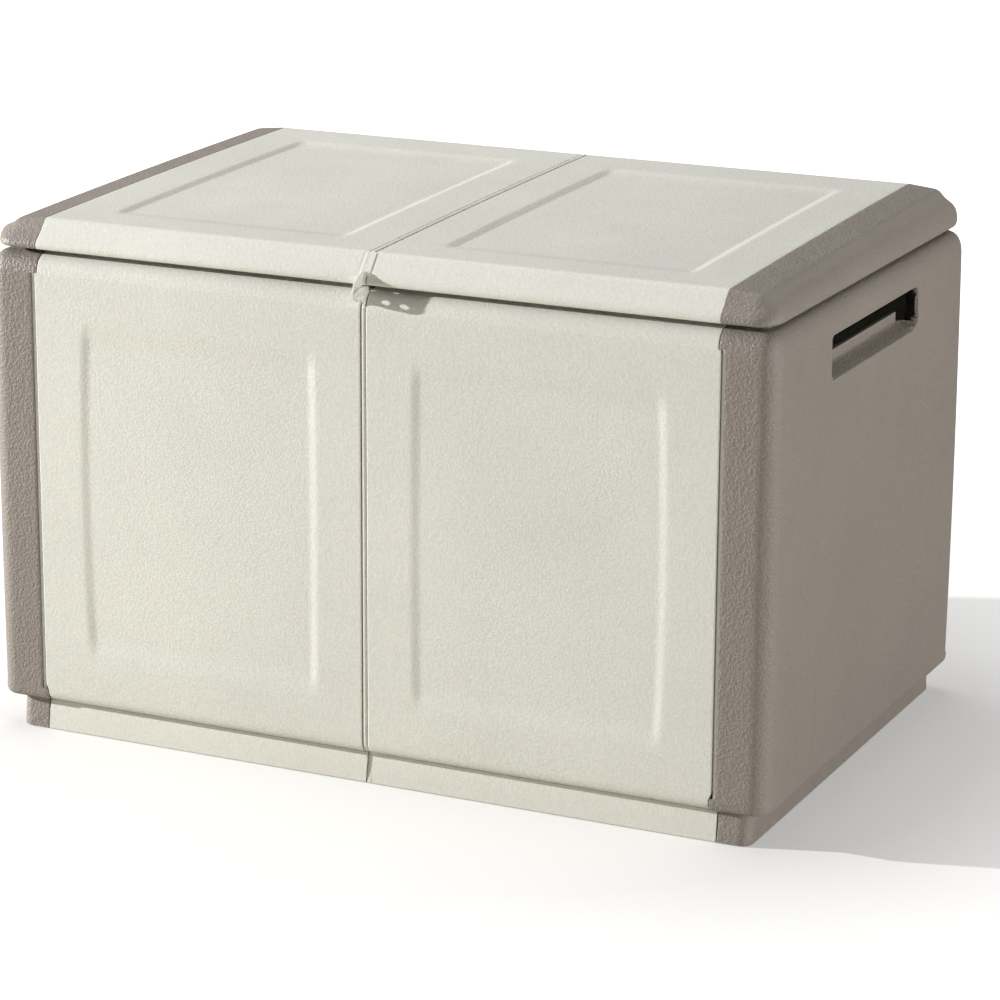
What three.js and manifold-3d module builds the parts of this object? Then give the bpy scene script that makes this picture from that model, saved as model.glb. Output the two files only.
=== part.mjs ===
// Deck storage box: a flat-pack chest of moulded resin panels with a hinged two-panel lid.
// Millimetres. X runs across the front, Y from the front (-Y) to the back (+Y), Z up.
// The origin is the middle of the footprint, on the ground.

import * as THREE from "three";
import { mergeVertices } from "three/addons/utils/BufferGeometryUtils.js";
import Module from "manifold-3d";

const wasm = await Module();
wasm.setup();

// Driving dimensions of the chest.
const HALF_WIDTH = 480; // outer face of a side panel
const HALF_DEPTH = 308; // outer face of the front and back panels
const SKIN = 4; // wall thickness of every moulding
const GAP = 0.3; // clearance between pieces that touch
const CORNER_R = 24; // plan radius of the chest's corners
const BASE_Z = 38; // where the wall panels stand on the base
const RIM_Z = 574; // top of the walls, inside the lid
const SHOULDER_IN = 19; // how far the walls curve in under the lid
const SHOULDER_DROP = 34; // height over which they do so
const BAND_X = 420; // inner edge of the side panel's corner band
const FLANGE = 21.5; // depth of a wall panel, skin and flange together

// The recessed base.
const BASE_HALF_WIDTH = 457;
const BASE_HALF_DEPTH = 297;
const BASE_CORNER_R = 14;
const PLINTH_LEAN = 8; // how far the plinth face leans out towards the ground
const FLOOR_Z = 34; // top of the floor plate

// The lid.
const LID_Z = 571.5; // lower edge
const LID_HALF_DEPTH = 304.5;
const LID_HALF_WIDTH = 474;
const LID_CORNER_R = 24;
const BEVEL_Z = 604; // top of the sloping front and back edges
const BEVEL_Y = 283;
const CROWN_Z = 618; // top of the lid at its back edge
const CROWN = 0.12; // the lid's crown, as a share of its rise from front to back
const CAP_X = 414; // joint between a lid panel and its end cap
const RIB_Z = 592; // lower edge of the lid's ribs

// The centre joints: a narrow bead between two panels, with a cover strip inside.
const BEAD = 2.65; // half width of the bead
const EDGE_X = 3.6; // inner edge of the panels on either side
const COVER = 20; // half width of the cover strip inside

// Padlock ears, side by side at the centre of the front.
const EAR_Y = -328; // outer edge of the ears
const EAR_T = 2.4; // thickness of one ear
const EAR_SIDE = 0.25; // each ear's distance from the chest's middle
const EAR_HOLE_R = 2.8;
const EAR_HOLE_Z = 555;
const EAR_HOLES_Y = [-314.2, -322.5];

// Hinges along the back.
const HINGE_Y = 318.5;
const HINGE_Z = 560;
const HINGE_X = [-330, -120, 120, 330];
const KNUCKLE_R = 9.5;
const BORE_R = 4;
const PIN_R = 3.4;
const LID_KNUCKLE = 8.5; // half length of the lid's knuckle
const KNUCKLE_IN = 9; // the chest's two knuckles run from here ...
const KNUCKLE_OUT = 24; // ... to here, on both sides of the lid's

// Grip openings in the side panels.
const GRIP_HALF = 140;
const GRIP_Z0 = 485;
const GRIP_Z1 = 530;
const SLOT_Z = 501; // the finger slot lies between here and GRIP_Z1
const SCOOP_X = 454; // back of the scoop behind the grip opening

// ---------------------------------------------------------------- solids

// A manifold solid from a closed geometry.
function solid(geometry) {
  const bare = geometry.clone();
  bare.deleteAttribute("normal");
  bare.deleteAttribute("uv");
  const merged = mergeVertices(bare, 1e-4);
  const mesh = new wasm.Mesh({
    numProp: 3,
    vertProperties: merged.attributes.position.array,
    triVerts: new Uint32Array(merged.index.array),
  });
  return new wasm.Manifold(mesh);
}

function join(parts) {
  return parts.reduce((sum, part) => sum.add(part));
}

// A box between two corners, given in any order.
function block(xa, xb, ya, yb, za, zb) {
  const size = [Math.abs(xb - xa), Math.abs(yb - ya), Math.abs(zb - za)];
  const box = new THREE.BoxGeometry(...size);
  return solid(box.translate((xa + xb) / 2, (ya + yb) / 2, (za + zb) / 2));
}

// An outline of [y, z] points, extruded along X.
function alongX(outline, xa, xb) {
  const shape = new THREE.Shape(outline.map(([y, z]) => new THREE.Vector2(y, z)));
  const depth = Math.abs(xb - xa);
  const body = new THREE.ExtrudeGeometry(shape, { depth, bevelEnabled: false });
  const turn = new THREE.Matrix4();
  turn.set(0, 0, 1, Math.min(xa, xb), 1, 0, 0, 0, 0, 1, 0, 0, 0, 0, 0, 1);
  return solid(body.applyMatrix4(turn));
}

// An outline of [x, z] points, extruded along Y over the whole depth of the lid.
function alongY(outline) {
  const shape = new THREE.Shape(outline.map(([x, z]) => new THREE.Vector2(x, z)));
  const depth = 2 * HALF_DEPTH;
  const body = new THREE.ExtrudeGeometry(shape, { depth, bevelEnabled: false });
  const turn = new THREE.Matrix4();
  turn.set(1, 0, 0, 0, 0, 0, -1, HALF_DEPTH, 0, 1, 0, 0, 0, 0, 0, 1);
  return solid(body.applyMatrix4(turn));
}

// A rounded rectangle in plan, extruded upwards. With a shoulder, its top edge curves in.
function rounded(halfX, halfY, radius, za, zb, shoulder = false) {
  const shape = new THREE.Shape();
  shape.moveTo(halfX, -halfY + radius);
  shape.absarc(halfX - radius, halfY - radius, radius, 0, Math.PI / 2);
  shape.absarc(-halfX + radius, halfY - radius, radius, Math.PI / 2, Math.PI);
  shape.absarc(-halfX + radius, -halfY + radius, radius, Math.PI, Math.PI * 1.5);
  shape.absarc(halfX - radius, -halfY + radius, radius, Math.PI * 1.5, Math.PI * 2);
  const bevel = {
    bevelEnabled: shoulder,
    bevelSize: SHOULDER_IN,
    bevelOffset: -SHOULDER_IN,
    bevelThickness: SHOULDER_DROP,
    bevelSegments: 4,
  };
  const rise = shoulder ? SHOULDER_DROP : 0;
  const depth = zb - za - rise;
  const body = new THREE.ExtrudeGeometry(shape, { depth, curveSegments: 4, ...bevel });
  return solid(body.translate(0, 0, za));
}

// A cylinder along X.
function rod(radius, xa, xb, y, z, sides = 20) {
  const body = new THREE.CylinderGeometry(radius, radius, xb - xa, sides);
  body.rotateZ(Math.PI / 2);
  return solid(body.translate((xa + xb) / 2, y, z));
}

// ---------------------------------------------------------------- shared forms

// The chest's outer form, and the form inside its skin.
const OVER = 40; // reach of a cutting block past the body
const RIM_IN_X = 452;
const RIM_IN_Y = 280;
const slab = (za, zb) => block(-500, 500, -400, 400, za, zb);
const outer = rounded(HALF_WIDTH, HALF_DEPTH, CORNER_R, BASE_Z - OVER, RIM_Z, true);
const form = outer.intersect(slab(BASE_Z + GAP, RIM_Z + OVER));
const hollow = rounded(
  HALF_WIDTH - SKIN,
  HALF_DEPTH - SKIN,
  CORNER_R - SKIN,
  BASE_Z - OVER,
  RIM_Z + 1,
  true,
);

// The lid's section, drawn `inset` inside its outer face, as points from front to back.
function lidArc(inset) {
  const front = [
    [-LID_HALF_DEPTH + 1.5 + inset, LID_Z],
    [-LID_HALF_DEPTH + inset, LID_Z + 3.5],
    [-LID_HALF_DEPTH + 2.5 + inset * 0.9, LID_Z + 9.5 - inset * 0.4],
    [-BEVEL_Y + inset * 0.6, BEVEL_Z - inset],
  ];
  const rise = CROWN_Z - BEVEL_Z;
  const steps = 10;
  const crown = [];
  for (let i = 1; i < steps; i += 1) {
    const t = (2 * i) / steps - 1;
    const share = (1 + t) / 2 + CROWN * (1 - t * t);
    crown.push([t * BEVEL_Y, BEVEL_Z + rise * share - inset]);
  }
  const back = front.map(([y, z]) => [-y, z]).reverse();
  back[0][1] += rise;
  return [...front, ...crown, ...back];
}

function lidSolid(inset, xa, xb) {
  return alongX(lidArc(inset).reverse(), xa, xb);
}

// The region above the chest's rim, where pieces may hang below the lid's skin.
const OVER_RIM_Y = 284;
const overRim = block(-500, 500, -OVER_RIM_Y, OVER_RIM_Y, RIM_Z + 2, CROWN_Z + 5);

// The lid's skin between two depths below its outer face.
function lidShell(from, to, xa, xb) {
  return alongX([...lidArc(to), ...lidArc(from).reverse()], xa, xb);
}

// ---------------------------------------------------------------- the assembly

const CREAM = { color: 0xdedccb, roughness: 0.55, metalness: 0 };
const TAUPE = { color: 0x958d83, roughness: 0.6, metalness: 0 };

const chest = new THREE.Group();
const lid = new THREE.Group();
const assembly = new THREE.Group();
assembly.add(chest, lid);

function addPiece(group, name, body, finish) {
  const { vertProperties, triVerts } = body.getMesh();
  const geometry = new THREE.BufferGeometry();
  geometry.setAttribute("position", new THREE.BufferAttribute(vertProperties, 3));
  geometry.setIndex(new THREE.BufferAttribute(triVerts, 1));
  geometry.computeVertexNormals();
  const mesh = new THREE.Mesh(geometry, new THREE.MeshStandardMaterial(finish));
  mesh.name = name;
  group.add(mesh);
}

// A wall panel's outer edge, its ribs, and the tongue along that edge.
const PANEL_EDGE_X = BAND_X - 4.6;
const RIB_T = 3;
const PANEL_RIBS = [140, 276];
const TONGUE_X = 440;
const TONGUE_Y = [299.4, 303.6];
const TONGUE_Z = [60, 540];

// A front or back panel: a skin with flanges and ribs behind it, and a tongue that slides
// behind the side panel's corner band. `side` is -1 or 1 for left or right, `face` for front or back.
function wallPanel(side, face) {
  const span = (xa, xb, ya, yb, za, zb) =>
    block(side * xa, side * xb, face * ya, face * yb, za, zb);
  const top = RIM_Z - SKIN;
  const whole = form.intersect(span(EDGE_X, PANEL_EDGE_X, RIM_IN_Y, HALF_DEPTH + 1, 0, RIM_Z + 1));
  const underRim = span(0, BAND_X, RIM_IN_Y - 1, HALF_DEPTH - FLANGE, 0, top);
  const walls = [EDGE_X + SKIN, ...PANEL_RIBS, PANEL_EDGE_X - SKIN];
  const bays = walls.slice(1).map((xb, i) => {
    const start = i === 0 ? walls[0] : walls[i] + RIB_T;
    return hollow.intersect(span(start, xb, RIM_IN_Y - 2, HALF_DEPTH, BASE_Z + SKIN, top));
  });
  const tongue = span(PANEL_EDGE_X - 1, TONGUE_X, ...TONGUE_Y, ...TONGUE_Z);
  return bays.reduce((body, bay) => body.subtract(bay), whole.subtract(underRim)).add(tongue);
}

// Where a hinge arm starts, inside the back panel's skin.
const ARM_Y = 295;

// The chest's half of a hinge: two knuckles on arms from the back panel.
function chestKnuckles(x) {
  const lobes = [-1, 1].map((s) => {
    const [xa, xb] = [x + s * KNUCKLE_IN, x + s * KNUCKLE_OUT].sort((a, b) => a - b);
    const arm = block(xa, xb, ARM_Y, HINGE_Y, HINGE_Z - 8, HINGE_Z + 6);
    return rod(KNUCKLE_R, xa, xb, HINGE_Y, HINGE_Z).add(arm);
  });
  return join(lobes);
}

const BORE_REACH = 40;
const bore = (x) => rod(BORE_R, x - BORE_REACH, x + BORE_REACH, HINGE_Y, HINGE_Z);

for (const [sideName, side] of [["left", -1], ["right", 1]]) {
  addPiece(chest, `front_panel_${sideName}`, wallPanel(side, -1), CREAM);
  const hinges = HINGE_X.filter((x) => Math.sign(x) === side);
  const plain = join([wallPanel(side, 1), ...hinges.map(chestKnuckles)]);
  const back = hinges.reduce((body, x) => body.subtract(bore(x)), plain);
  addPiece(chest, `back_panel_${sideName}`, back, CREAM);
}

const COVER_T = 3.8; // thickness of a post's cover strip
const BEAD_SUNK = 0.8; // how far a post's bead lies below the panels' faces

// A centre post: the bead that shows between two panels, and the cover strip behind them.
function centrePost(face) {
  const outside = face * (HALF_DEPTH - FLANGE - GAP);
  const inside = outside - face * COVER_T;
  const showing = face * (HALF_DEPTH - BEAD_SUNK);
  const web = block(-BEAD, BEAD, showing, inside, BASE_Z + GAP, RIM_Z - 1);
  const cover = block(-COVER, COVER, outside, inside, BASE_Z + SKIN, RIM_Z - SKIN - 1);
  return form.intersect(web).add(cover);
}

function earHoles() {
  return join(EAR_HOLES_Y.map((y) => rod(EAR_HOLE_R, -6, 6, y, EAR_HOLE_Z, 16)));
}

// The ear on the chest is a plate that stands forward from the post, its outer corners cut off.
const chestEar = alongX(
  [
    [-296, 529],
    [-296, 569],
    [-319, 569],
    [-324.5, 566.5],
    [EAR_Y, 561],
    [EAR_Y, 549],
    [-325, 543],
    [-319, 538],
    [-311, 534],
  ].reverse(),
  EAR_SIDE,
  EAR_SIDE + EAR_T,
);
addPiece(chest, "front_centre_post", centrePost(-1).add(chestEar).subtract(earHoles()), CREAM);
addPiece(chest, "back_centre_post", centrePost(1), CREAM);

// A side panel: the end wall with its corner bands, the base beneath it and the grip's scoop.
const baseForm = rounded(BASE_HALF_WIDTH, BASE_HALF_DEPTH, BASE_CORNER_R, 0, BASE_Z + 2);
const baseHollow = rounded(
  BASE_HALF_WIDTH - SKIN,
  BASE_HALF_DEPTH - SKIN,
  BASE_CORNER_R - SKIN,
  -1,
  BASE_Z + OVER,
);
const rimOpening = rounded(RIM_IN_X, RIM_IN_Y, 8, RIM_Z - OVER, RIM_Z + OVER);
const cavity = join([hollow.intersect(slab(BASE_Z + SKIN, RIM_Z - SKIN)), baseHollow, rimOpening]);
const GRIP_END = GRIP_HALF + 8; // outer face of the scoop's end walls

// A tongue's groove: the hook's outer web, its foot across the tongue's edge, and their height.
const HOOK_FOOT = [442, 305];
const HOOK_WEB = [424, 299];
const HOOK_END = [446, 295];
const HOOK_Z = [BASE_Z + 3, 554];

function sidePanel(side) {
  const reach = block(side * BAND_X, side * 500, -400, 400, -1, RIM_Z + 1);
  const parts = [form.add(baseForm).subtract(cavity).intersect(reach)];
  // A hook behind each corner band holds the tongue of the panel beside it.
  for (const face of [-1, 1]) {
    const hook = ([xa, ya]) =>
      block(side * xa, side * HOOK_END[0], face * ya, face * HOOK_END[1], ...HOOK_Z);
    parts.push(hook(HOOK_FOOT), hook(HOOK_WEB));
  }
  const inside = HALF_WIDTH - SKIN + 1;
  const outside = HALF_WIDTH + 10;
  const across = (xa, xb, halfY, za, zb) => block(side * xa, side * xb, -halfY, halfY, za, zb);
  const scoop = across(SCOOP_X, inside, GRIP_END, GRIP_Z0 - SKIN, GRIP_Z1 + SKIN);
  const pocket = across(SCOOP_X + SKIN, outside, GRIP_HALF, GRIP_Z0, GRIP_Z1);
  const slot = across(SCOOP_X - 14, outside, GRIP_HALF, SLOT_Z, GRIP_Z1);
  return join([...parts, scoop]).subtract(pocket.add(slot));
}

// Half of the floor: a plate between the front and back plinths, reaching in over the side's base.
const PLINTH_TOP = BASE_Z - GAP;
const PLINTH_FOOT_Y = BASE_HALF_DEPTH + 2;
const PLINTH_TOP_Y = PLINTH_FOOT_Y - PLINTH_LEAN;
const PLINTH_IN_Y = 268; // inner face of the plinth, where the floor plate begins
const PLATE_X = [410, 450]; // the plate's reach over the side's base
const PLATE_Y = 284;

function floorPanel(side) {
  const half = [
    [PLINTH_FOOT_Y - SKIN, 0],
    [PLINTH_FOOT_Y, 0],
    [PLINTH_TOP_Y, PLINTH_TOP],
    [PLINTH_IN_Y, PLINTH_TOP],
    [PLINTH_IN_Y, FLOOR_Z],
  ];
  const outline = [
    [-(PLINTH_TOP_Y - 3), FLOOR_Z - SKIN],
    [PLINTH_TOP_Y - 3, FLOOR_Z - SKIN],
    ...half,
    ...half.map(([y, z]) => [-y, z]).reverse(),
  ];
  const [xa, xb] = PLATE_X;
  const plate = block(side * xa, side * xb, -PLATE_Y, PLATE_Y, FLOOR_Z - SKIN, FLOOR_Z);
  return alongX(outline, side * EDGE_X, side * (BAND_X - 2)).add(plate);
}

for (const [sideName, side] of [["left", -1], ["right", 1]]) {
  addPiece(chest, `side_panel_${sideName}`, sidePanel(side), TAUPE);
  addPiece(chest, `floor_panel_${sideName}`, floorPanel(side), CREAM);
}

// The floor's keel fills the joint between the halves and carries the cover strip above it.
const keelWeb = alongX(
  [
    [-PLINTH_FOOT_Y, 0],
    [PLINTH_FOOT_Y, 0],
    [PLINTH_TOP_Y, PLINTH_TOP],
    [-PLINTH_TOP_Y, PLINTH_TOP],
  ],
  -BEAD,
  BEAD,
);
const KEEL_Y = PLINTH_IN_Y - 2;
const keelCover = block(-COVER, COVER, -KEEL_Y, KEEL_Y, FLOOR_Z + GAP, FLOOR_Z + 3.3);
addPiece(chest, "floor_keel", keelWeb.add(keelCover), CREAM);

// A lid panel: a sloping, slightly crowned skin with ribs whose ends rest on the chest's rim, and two hinge knuckles.
const RIM_REST = RIM_Z + 0.4;
const LID_RIBS = [60, 200, 345];
const ribOutline = [
  [-289, RIM_REST],
  [-278, RIM_REST],
  [-264, RIB_Z],
  [264, RIB_Z],
  [278, RIM_REST],
  [289, RIM_REST],
  [289, CROWN_Z + 5],
  [-289, CROWN_Z + 5],
];

function lidKnuckle(x) {
  const arm = [
    [299.5, 573.5],
    [311, 562],
    [318.5, 554],
    [327, 560],
    [325, 568],
    [302, 586],
    [297, 581],
  ];
  const [xa, xb] = [x - LID_KNUCKLE, x + LID_KNUCKLE];
  return rod(KNUCKLE_R, xa, xb, HINGE_Y, HINGE_Z).add(alongX(arm, xa, xb));
}

function lidPanel(side) {
  const skin = lidShell(0, SKIN, side * EDGE_X, side * (CAP_X - GAP));
  const ribs = LID_RIBS.map((x) =>
    lidSolid(SKIN - 1, side * (x - RIB_T / 2), side * (x + RIB_T / 2)).intersect(
      alongX(ribOutline, side * (x - 2), side * (x + 2)),
    ),
  );
  const hinges = HINGE_X.filter((x) => Math.sign(x) === side);
  const knuckles = hinges.map(lidKnuckle);
  return hinges.reduce((body, x) => body.subtract(bore(x)), join([skin, ...ribs, ...knuckles]));
}

// An end cap: sloping on top, round at its outer edge and corners, with a tongue under the panel.
function capForm(inset) {
  const x = LID_HALF_WIDTH - inset;
  const slope = [
    [CAP_X - 30, CROWN_Z + 2 - inset],
    [CAP_X, CROWN_Z + 1 - inset],
    [x - 20, CROWN_Z - 6 - inset],
    [x - 9, CROWN_Z - 11 - inset],
    [x - 2.5, CROWN_Z - 20 - inset],
    [x, CROWN_Z - 31 - inset],
    [x, LID_Z - OVER],
    [CAP_X - 30, LID_Z - OVER],
  ];
  const plan = rounded(x, LID_HALF_DEPTH - inset, LID_CORNER_R - inset, LID_Z - OVER, CROWN_Z + 5);
  return { slope, plan };
}

function endCap(side) {
  const cut = (inset, xa) => {
    const { slope, plan } = capForm(inset);
    const outline = side > 0 ? slope : slope.map(([x, z]) => [-x, z]).reverse();
    return lidSolid(inset, side * xa, side * 480).intersect(plan).intersect(alongY(outline));
  };
  const shell = cut(0, CAP_X).subtract(cut(SKIN, CAP_X - 1));
  const tongue = lidShell(SKIN + GAP, SKIN + 3, side * (CAP_X - 12), side * (CAP_X + 3));
  const bridge = lidShell(SKIN - 1, SKIN + 3, side * CAP_X, side * (CAP_X + 3));
  return shell.add(tongue.add(bridge).intersect(overRim));
}

for (const [sideName, side] of [["left", -1], ["right", 1]]) {
  addPiece(lid, `lid_panel_${sideName}`, lidPanel(side), CREAM);
  addPiece(lid, `lid_end_cap_${sideName}`, endCap(side), TAUPE);
}

// The lid's centre strip: bead and cover like a post's, a wider lap down the front slope,
// and the second padlock ear, which hangs beside the chest's ear.
const lapRegion = block(-6, 6, -320, -BEVEL_Y, LID_Z + 6, BEVEL_Z + 2);
const lap = lidShell(-1.5, -GAP, -6, 6).intersect(lapRegion);
const lidEar = alongX(
  [
    [-300, 574],
    [-309.5, 572],
    [-309.5, 551],
    [-314, 546.5],
    [-322, 546.5],
    [EAR_Y, 551],
    [EAR_Y, 567],
    [-325, 575],
    [-317, 582],
    [-307, 586],
    [-299, 586],
  ],
  -EAR_SIDE - EAR_T,
  -EAR_SIDE,
);
const bead = lidShell(-0.4, SKIN, -BEAD, BEAD);
const web = lidShell(SKIN - 1, SKIN + 3.3, -BEAD, BEAD);
const cover = lidShell(SKIN + GAP, SKIN + 3.3, -COVER, COVER);
const strip = join([bead, web.add(cover).intersect(overRim), lap, lidEar]).subtract(earHoles());
addPiece(lid, "lid_centre_strip", strip, CREAM);

// Hinge pins: a plain shank with a head at one end.
const PIN_HALF = 25;
const PIN_HEAD_R = 5.2;
const PIN_HEAD = 2.6;
HINGE_X.forEach((x, i) => {
  const profile = [
    [0, -PIN_HALF],
    [PIN_R, -PIN_HALF],
    [PIN_R, KNUCKLE_OUT + 0.4],
    [PIN_HEAD_R, KNUCKLE_OUT + 0.4],
    [PIN_HEAD_R, KNUCKLE_OUT + 0.4 + PIN_HEAD],
    [0, KNUCKLE_OUT + 0.4 + PIN_HEAD],
  ].map(([r, h]) => new THREE.Vector2(r, h));
  const shank = new THREE.LatheGeometry(profile, 16).rotateZ(-Math.PI / 2);
  addPiece(chest, `hinge_pin_${i + 1}`, solid(shank.translate(x, HINGE_Y, HINGE_Z)), TAUPE);
});

export default assembly;
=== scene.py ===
import math

import bmesh
import bpy
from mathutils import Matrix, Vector


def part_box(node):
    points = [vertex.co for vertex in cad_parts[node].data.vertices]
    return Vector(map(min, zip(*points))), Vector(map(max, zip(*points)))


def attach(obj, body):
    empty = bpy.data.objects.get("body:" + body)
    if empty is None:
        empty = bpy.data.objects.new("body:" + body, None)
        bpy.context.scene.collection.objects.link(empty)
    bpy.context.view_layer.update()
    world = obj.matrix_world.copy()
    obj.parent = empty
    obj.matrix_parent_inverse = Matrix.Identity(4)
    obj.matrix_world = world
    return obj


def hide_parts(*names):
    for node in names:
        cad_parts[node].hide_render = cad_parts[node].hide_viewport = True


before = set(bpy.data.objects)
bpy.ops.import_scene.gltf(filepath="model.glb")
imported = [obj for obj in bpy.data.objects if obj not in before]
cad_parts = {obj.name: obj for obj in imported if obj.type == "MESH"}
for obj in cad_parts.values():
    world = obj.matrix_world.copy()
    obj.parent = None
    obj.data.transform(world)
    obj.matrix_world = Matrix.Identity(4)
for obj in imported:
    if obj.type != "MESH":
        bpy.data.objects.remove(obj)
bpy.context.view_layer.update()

bl_info = {
    "name": "Deck Storage Box",
    "version": (1, 0, 0),
    "blender": (4, 5, 0),
    "location": "View3D > Sidebar > Storage Box",
    "description": "Builds a moulded resin storage box, piece by piece, on its fixed frame",
    "category": "Add Mesh",
}

MM = 0.001
SIDES = (("left", -1), ("right", 1))
FACES = (("front", -1), ("back", 1))


# ------------------------------------------------------------------ sizes from the frame


def corners(node):
    """A CAD node's lowest and highest corners, in millimetres."""
    low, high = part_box(node)
    return low / MM, high / MM


WALL_LO, WALL_HI = corners("front_panel_right")
SIDE_LO, SIDE_HI = corners("side_panel_right")
LID_HI = corners("lid_panel_right")[1]
CAP_LO, CAP_HI = corners("lid_end_cap_right")
FLOOR_HI = corners("floor_panel_right")[1]
PINS = [corners(f"hinge_pin_{i}") for i in (1, 2, 3, 4)]

HALF_W, HALF_D = SIDE_HI.x, SIDE_HI.y
FOOT_Z = WALL_LO.z
SEAM_X, BAND_X = WALL_LO.x, SIDE_LO.x
RIM_Y = -WALL_HI.y  # inner edge of the rim
LIP_Z, CROWN_Z = CAP_LO.z, LID_HI.z
CAP_W, LID_D = CAP_HI.x, CAP_HI.y
CAP_JOINT = LID_HI.x
EAR_Y = corners("front_centre_post")[0].y
HINGE_Y = (PINS[0][0].y + PINS[0][1].y) / 2
HINGE_Z = (PINS[0][0].z + PINS[0][1].z) / 2

CORNER_R = 24.0  # corners of the chest, seen from above
CAP_R = 30.0  # corners of the lid
BEAD_X = (-2.65, 2.65)  # the bead between two panels
COVER_X = 20.0  # half width of the strips that cover the seams inside
# The walls' shoulder, as (inset, z): it rounds over to a ledge under the lid, then the rim.
SHOULDER = ((0.0, 540.0), (0.25, 544.6), (0.35, 545.4), (1.3, 550.4), (2.6, 554.0), (4.6, 557.6),
            (7.4, 560.8), (11.0, 563.4), (15.0, 565.1), (19.5, 565.9), (23.2, 566.1), (25.0, 567.2),
            (25.7, 569.6), (25.9, 572.6), (26.5, 574.0))
SEAT_Z = 562.0  # the inner foot of the rim
BAR_TOP = 545.0  # the bars behind the walls end under the shoulder
BEVEL_D, BEVEL_Z = 21.5, 604.0  # width and top of the sloping edge at the lid's front
CROWN = 0.12  # the lid's crown, as a share of its rise from front to back
KNUCKLE_R, KNUCKLE_WALL = 9.5, 5.5
EAR_X = (0.25, 2.65)
EAR_HOLES = ((-312.8, 560.5), (-320.6, 563.0))
EAR_HOLE_R = 2.8
# Places across a panel, close together where the sides of its field rise.
PANEL_STEPS = (12, 24, 38, 48, 53, 56, 58, 60, 62, 64, 66, 68, 70, 73, 78, 86, 98, 114, 134, 156,
               178, 200, 222, 244, 266, 286, 304, 318, 328, 336, 341, 344, 346, 348, 350, 352, 354,
               356, 358)
SMOOTH_ANGLE = math.radians(32)


class BoxSizes(bpy.types.PropertyGroup):
    skin: bpy.props.FloatProperty(
        name="Skin", description="Thickness of every moulded wall",
        default=0.004, min=0.002, max=0.006, unit="LENGTH")
    field_depth: bpy.props.FloatProperty(
        name="Field depth", description="How far the rectangular fields are sunk",
        default=0.0021, min=0.0, max=0.004, unit="LENGTH")
    field_border: bpy.props.FloatProperty(
        name="Field border", description="Width of the soft step round a field",
        default=0.014, min=0.004, max=0.02, unit="LENGTH")
    grip_depth: bpy.props.FloatProperty(
        name="Grip depth", description="Depth of the grip recess in the end walls",
        default=0.022, min=0.01, max=0.026, unit="LENGTH")


class BoxColours(bpy.types.PropertyGroup):
    cream: bpy.props.FloatVectorProperty(
        name="Cream resin", description="Colour of the panels, posts, plinth and lid",
        default=(0.76, 0.757, 0.71, 1.0), size=4, min=0.0, max=1.0, subtype="COLOR")
    taupe: bpy.props.FloatVectorProperty(
        name="Taupe resin", description="Colour of the end panels, end caps and pins",
        default=(0.285, 0.252, 0.231, 1.0), size=4, min=0.0, max=1.0, subtype="COLOR")
    floor: bpy.props.FloatVectorProperty(
        name="Studio floor", description="Colour of the studio floor",
        default=(0.72, 0.72, 0.72, 1.0), size=4, min=0.0, max=1.0, subtype="COLOR")


def sizes():
    """The sizes that the sidebar shows."""
    return bpy.context.scene.deck_box_sizes


def colours():
    """The colours that the sidebar shows."""
    return bpy.context.scene.deck_box_colours


# ------------------------------------------------------------------ modelling helpers


def ease(low, high, value):
    """0 below low, 1 above high, and a smooth rise between."""
    t = min(max((value - low) / (high - low), 0.0), 1.0)
    return t * t * (3 - 2 * t)


def only(*objs):
    """Selects these objects and nothing else; the first is active."""
    if bpy.context.mode != "OBJECT":
        bpy.ops.object.mode_set(mode="OBJECT")
    bpy.ops.object.select_all(action="DESELECT")
    for obj in objs:
        obj.select_set(True)
    bpy.context.view_layer.objects.active = objs[0]


def edit(obj, mode="FACE"):
    """Edit mode on one object with nothing selected; gives its edit mesh."""
    only(obj)
    bpy.ops.object.mode_set(mode="EDIT")
    bpy.ops.mesh.select_mode(type=mode)
    bpy.ops.mesh.select_all(action="DESELECT")
    return bmesh.from_edit_mesh(obj.data)


def pick_faces(obj, test):
    """Edit mode with the faces selected whose centre, in millimetres, passes the test."""
    mesh = edit(obj)
    for face in mesh.faces:
        face.select_set(bool(test(face.calc_center_median() / MM)))
    bmesh.update_edit_mesh(obj.data)


def leave_edit():
    """Back to object mode."""
    bpy.ops.object.mode_set(mode="OBJECT")


def apply(obj, kind, **settings):
    """Adds a modifier to one object and applies it."""
    only(obj)
    modifier = obj.modifiers.new(kind.title(), kind)
    for key, value in settings.items():
        setattr(modifier, key, value)
    bpy.ops.object.modifier_apply(modifier=modifier.name)
    return obj


def join(name, objs):
    """One object from several."""
    only(*objs)
    bpy.ops.object.join()
    objs[0].name = objs[0].data.name = name
    return objs[0]


def face_towards(obj, direction):
    """Turns a sheet's faces over if they look away from a direction."""
    looks = sum((f.normal * f.area).dot(Vector(direction)) for f in obj.data.polygons)
    if looks < 0:
        edit(obj)
        bpy.ops.mesh.select_all(action="SELECT")
        bpy.ops.mesh.flip_normals()
        leave_edit()


def sheet(name, rows, direction):
    """A grid drawn out over rows of points, in millimetres, facing a direction."""
    wide, high = len(rows[0]), len(rows)
    bpy.ops.mesh.primitive_grid_add(x_subdivisions=wide - 1, y_subdivisions=high - 1, size=1)
    obj = bpy.context.object
    obj.name = obj.data.name = name
    flat = [value * MM for row in rows for point in row for value in point]
    obj.data.vertices.foreach_set("co", flat)
    obj.data.update()
    edit(obj)
    bpy.ops.mesh.select_all(action="SELECT")
    bpy.ops.mesh.remove_doubles(threshold=0.00002)
    bpy.ops.mesh.select_all(action="DESELECT")
    leave_edit()
    face_towards(obj, direction)
    return obj


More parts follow.
